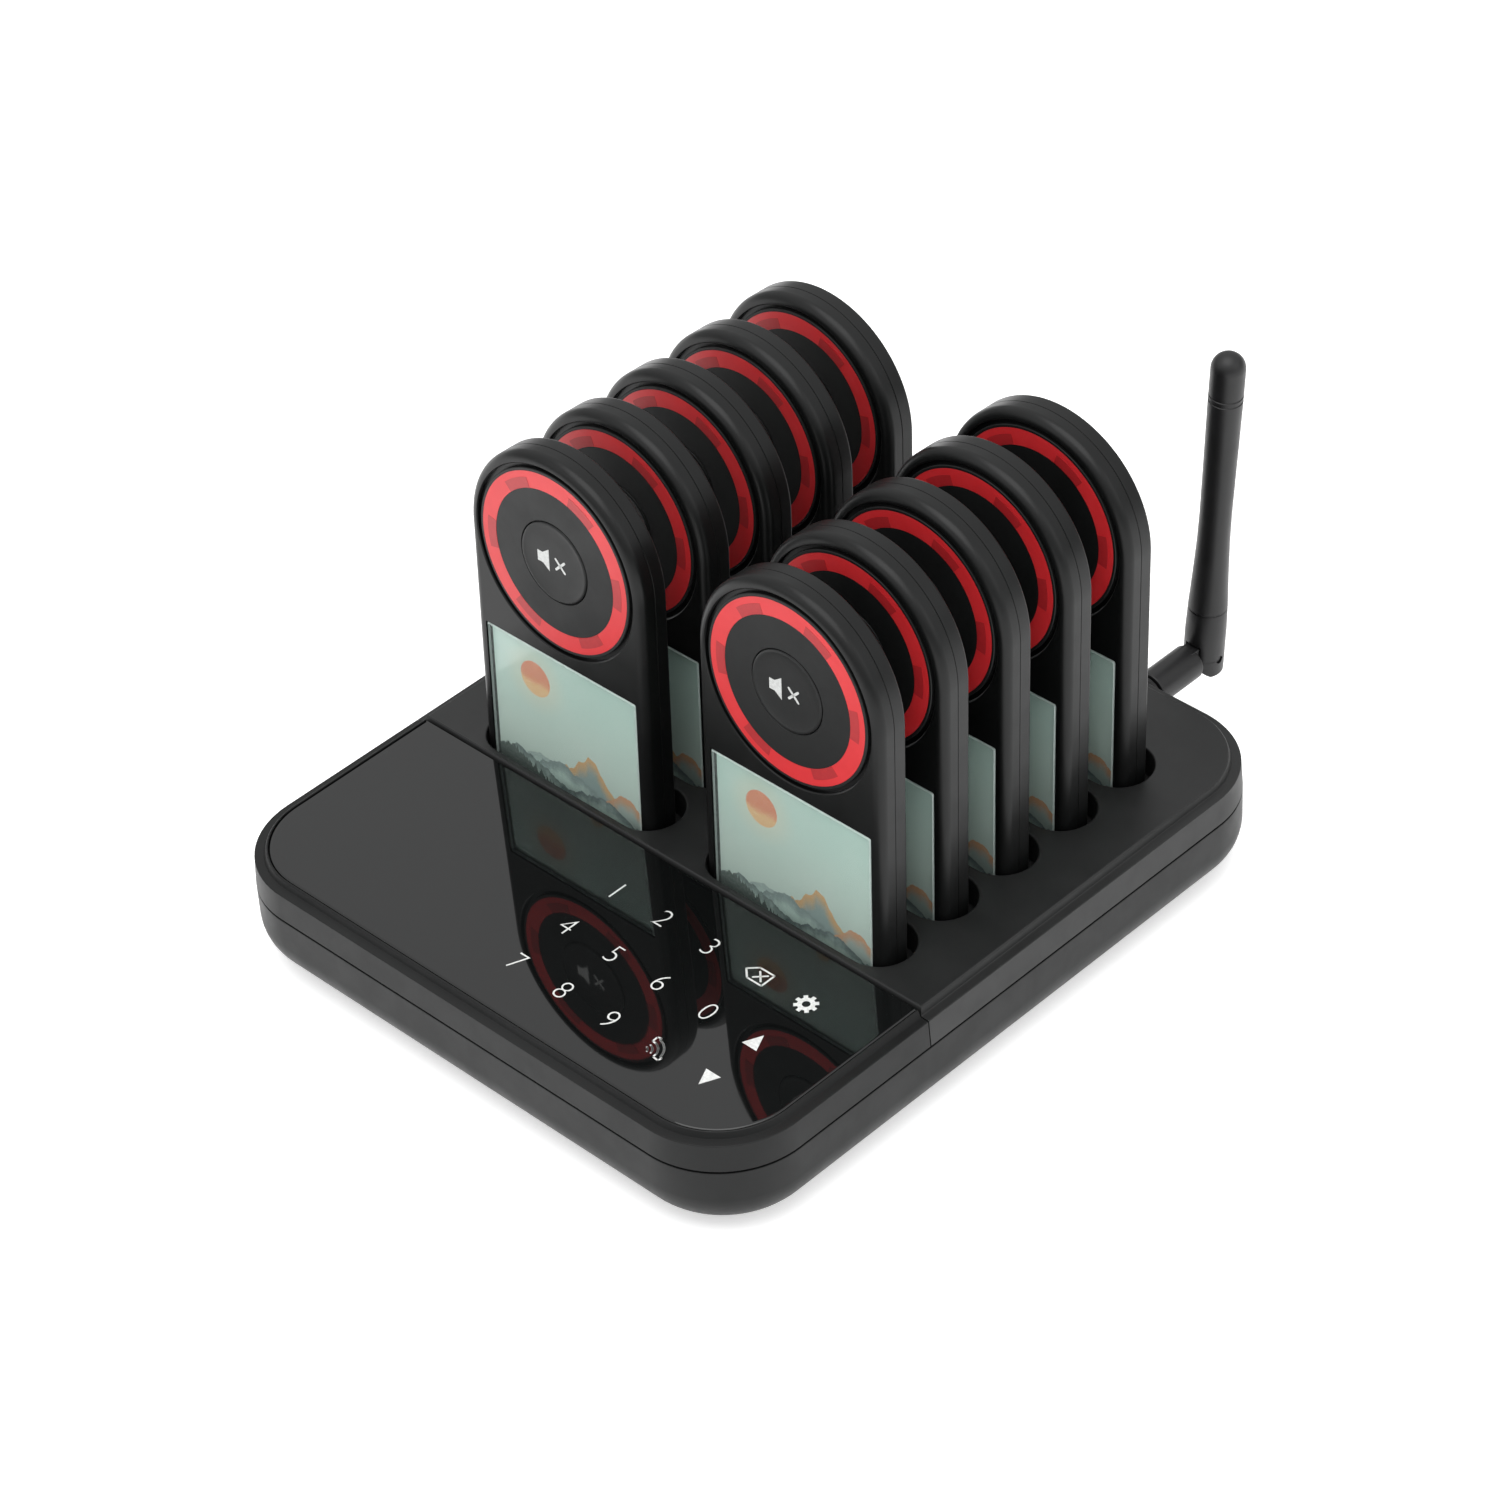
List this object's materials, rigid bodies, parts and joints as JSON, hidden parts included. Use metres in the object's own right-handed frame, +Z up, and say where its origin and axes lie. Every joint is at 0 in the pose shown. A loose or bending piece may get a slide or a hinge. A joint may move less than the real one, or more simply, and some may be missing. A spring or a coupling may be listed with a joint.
{
  "type": "restaurant paging set",
  "caption": "Charging base with touch keypad and folding antenna, with guest pagers standing in its wells, each with a light ring, mute button and card window.",
  "frame": {"origin": "on the table, below the middle of the whole set's footprint, antenna included", "axes": "+Z up, the keypad faces -Y, the antenna is at +Y"},
  "size_m": [0.1614, 0.2178, 0.1166],
  "materials": {
    "housing_black": "fine satin grain",
    "deck_black": "matte, fine grain",
    "keypad_glass": "mirror gloss black with light grey symbols",
    "pager_black": "satin",
    "button_black": "matte",
    "ring_red": "translucent red, satin",
    "card_window": "clear",
    "board_green": "solder mask",
    "battery_silver": "foil pouch",
    "plated_metal": "plated",
    "connector_black": "moulded",
    "antenna_black": "satin",
    "foot_rubber": "matte"
  },
  "bodies": {
    "base": {"base_lower_shell": "housing_black", "keypad_frame": "housing_black", "keypad_glass": "keypad_glass", "dock_cover": "deck_black", "control_board": "board_green", "charging_board": "board_green", "dc_power_socket": "connector_black", "antenna_socket": "plated_metal", "antenna_collar": "antenna_black", "foot_1": "foot_rubber", "foot_2": "foot_rubber", "foot_3": "foot_rubber", "foot_4": "foot_rubber"},
    "antenna_elbow": {"antenna_elbow": "antenna_black"},
    "antenna_whip": {"antenna_whip": "antenna_black", "antenna_hinge_pin": "plated_metal"},
    "pager_01": {"pager_01_front_shell": "pager_black", "pager_01_rear_shell": "pager_black", "pager_01_light_ring": "ring_red", "pager_01_card_window": "card_window", "pager_01_circuit_board": "board_green", "pager_01_battery": "battery_silver", "pager_01_vibration_motor": "plated_metal"},
    "pager_01_button": {"pager_01_mute_button": "button_black"},
    "pager_02": {"pager_02_front_shell": "pager_black", "pager_02_rear_shell": "pager_black", "pager_02_light_ring": "ring_red"},
    "pager_02_button": {"pager_02_mute_button": "button_black"},
    "pager_03": {"pager_03_front_shell": "pager_black", "pager_03_rear_shell": "pager_black", "pager_03_light_ring": "ring_red"},
    "pager_03_button": {"pager_03_mute_button": "button_black"},
    "pager_04": {"pager_04_front_shell": "pager_black", "pager_04_rear_shell": "pager_black", "pager_04_light_ring": "ring_red"},
    "pager_04_button": {"pager_04_mute_button": "button_black"},
    "pager_05": {"pager_05_front_shell": "pager_black", "pager_05_rear_shell": "pager_black", "pager_05_light_ring": "ring_red"},
    "pager_05_button": {"pager_05_mute_button": "button_black"},
    "pager_06": {"pager_06_front_shell": "pager_black", "pager_06_rear_shell": "pager_black", "pager_06_light_ring": "ring_red"},
    "pager_06_button": {"pager_06_mute_button": "button_black"},
    "pager_07": {"pager_07_front_shell": "pager_black", "pager_07_rear_shell": "pager_black", "pager_07_light_ring": "ring_red"},
    "pager_07_button": {"pager_07_mute_button": "button_black"},
    "pager_08": {"pager_08_front_shell": "pager_black", "pager_08_rear_shell": "pager_black", "pager_08_light_ring": "ring_red"},
    "pager_08_button": {"pager_08_mute_button": "button_black"},
    "pager_09": {"pager_09_front_shell": "pager_black", "pager_09_rear_shell": "pager_black", "pager_09_light_ring": "ring_red"},
    "pager_09_button": {"pager_09_mute_button": "button_black"},
    "pager_10": {"pager_10_front_shell": "pager_black", "pager_10_rear_shell": "pager_black", "pager_10_light_ring": "ring_red"},
    "pager_10_button": {"pager_10_mute_button": "button_black"}
  },
  "joints": [
    {"name": "pager_01_lift", "type": "slide", "parent": "base", "child": "pager_01", "axis": [0, 0.0349, 0.9994], "range_m": [0, 0.12]},
    {"name": "pager_01_mute_press", "type": "slide", "parent": "pager_01", "child": "pager_01_button", "axis": [0, 0.9994, -0.0349], "range_m": [0, 0.0005], "stiffness_N_per_m": 3000},
    {"name": "pager_02_lift", "type": "slide", "parent": "base", "child": "pager_02", "axis": [0, 0.0349, 0.9994], "range_m": [0, 0.12]},
    {"name": "pager_02_mute_press", "type": "slide", "parent": "pager_02", "child": "pager_02_button", "axis": [0, 0.9994, -0.0349], "range_m": [0, 0.0005], "stiffness_N_per_m": 3000},
    {"name": "pager_03_lift", "type": "slide", "parent": "base", "child": "pager_03", "axis": [0, 0.0349, 0.9994], "range_m": [0, 0.12]},
    {"name": "pager_03_mute_press", "type": "slide", "parent": "pager_03", "child": "pager_03_button", "axis": [0, 0.9994, -0.0349], "range_m": [0, 0.0005], "stiffness_N_per_m": 3000},
    {"name": "pager_04_lift", "type": "slide", "parent": "base", "child": "pager_04", "axis": [0, 0.0349, 0.9994], "range_m": [0, 0.12]},
    {"name": "pager_04_mute_press", "type": "slide", "parent": "pager_04", "child": "pager_04_button", "axis": [0, 0.9994, -0.0349], "range_m": [0, 0.0005], "stiffness_N_per_m": 3000},
    {"name": "pager_05_lift", "type": "slide", "parent": "base", "child": "pager_05", "axis": [0, 0.0349, 0.9994], "range_m": [0, 0.12]},
    {"name": "pager_05_mute_press", "type": "slide", "parent": "pager_05", "child": "pager_05_button", "axis": [0, 0.9994, -0.0349], "range_m": [0, 0.0005], "stiffness_N_per_m": 3000},
    {"name": "pager_06_lift", "type": "slide", "parent": "base", "child": "pager_06", "axis": [0, 0.0349, 0.9994], "range_m": [0, 0.12]},
    {"name": "pager_06_mute_press", "type": "slide", "parent": "pager_06", "child": "pager_06_button", "axis": [0, 0.9994, -0.0349], "range_m": [0, 0.0005], "stiffness_N_per_m": 3000},
    {"name": "pager_07_lift", "type": "slide", "parent": "base", "child": "pager_07", "axis": [0, 0.0349, 0.9994], "range_m": [0, 0.12]},
    {"name": "pager_07_mute_press", "type": "slide", "parent": "pager_07", "child": "pager_07_button", "axis": [0, 0.9994, -0.0349], "range_m": [0, 0.0005], "stiffness_N_per_m": 3000},
    {"name": "pager_08_lift", "type": "slide", "parent": "base", "child": "pager_08", "axis": [0, 0.0349, 0.9994], "range_m": [0, 0.12]},
    {"name": "pager_08_mute_press", "type": "slide", "parent": "pager_08", "child": "pager_08_button", "axis": [0, 0.9994, -0.0349], "range_m": [0, 0.0005], "stiffness_N_per_m": 3000},
    {"name": "pager_09_lift", "type": "slide", "parent": "base", "child": "pager_09", "axis": [0, 0.0349, 0.9994], "range_m": [0, 0.12]},
    {"name": "pager_09_mute_press", "type": "slide", "parent": "pager_09", "child": "pager_09_button", "axis": [0, 0.9994, -0.0349], "range_m": [0, 0.0005], "stiffness_N_per_m": 3000},
    {"name": "pager_10_lift", "type": "slide", "parent": "base", "child": "pager_10", "axis": [0, 0.0349, 0.9994], "range_m": [0, 0.12]},
    {"name": "pager_10_mute_press", "type": "slide", "parent": "pager_10", "child": "pager_10_button", "axis": [0, 0.9994, -0.0349], "range_m": [0, 0.0005], "stiffness_N_per_m": 3000},
    {"name": "antenna_swivel", "type": "hinge", "parent": "base", "child": "antenna_elbow", "pos_m": [0.0328, 0.104, 0.0147], "axis": [0, 1, 0], "range_deg": [-94.4, 85.6]},
    {"name": "antenna_fold", "type": "hinge", "parent": "antenna_elbow", "child": "antenna_whip", "pos_m": [0.0328, 0.104, 0.0147], "axis": [0.9971, 0, -0.0767], "range_deg": [-90, 0]}
  ]
}
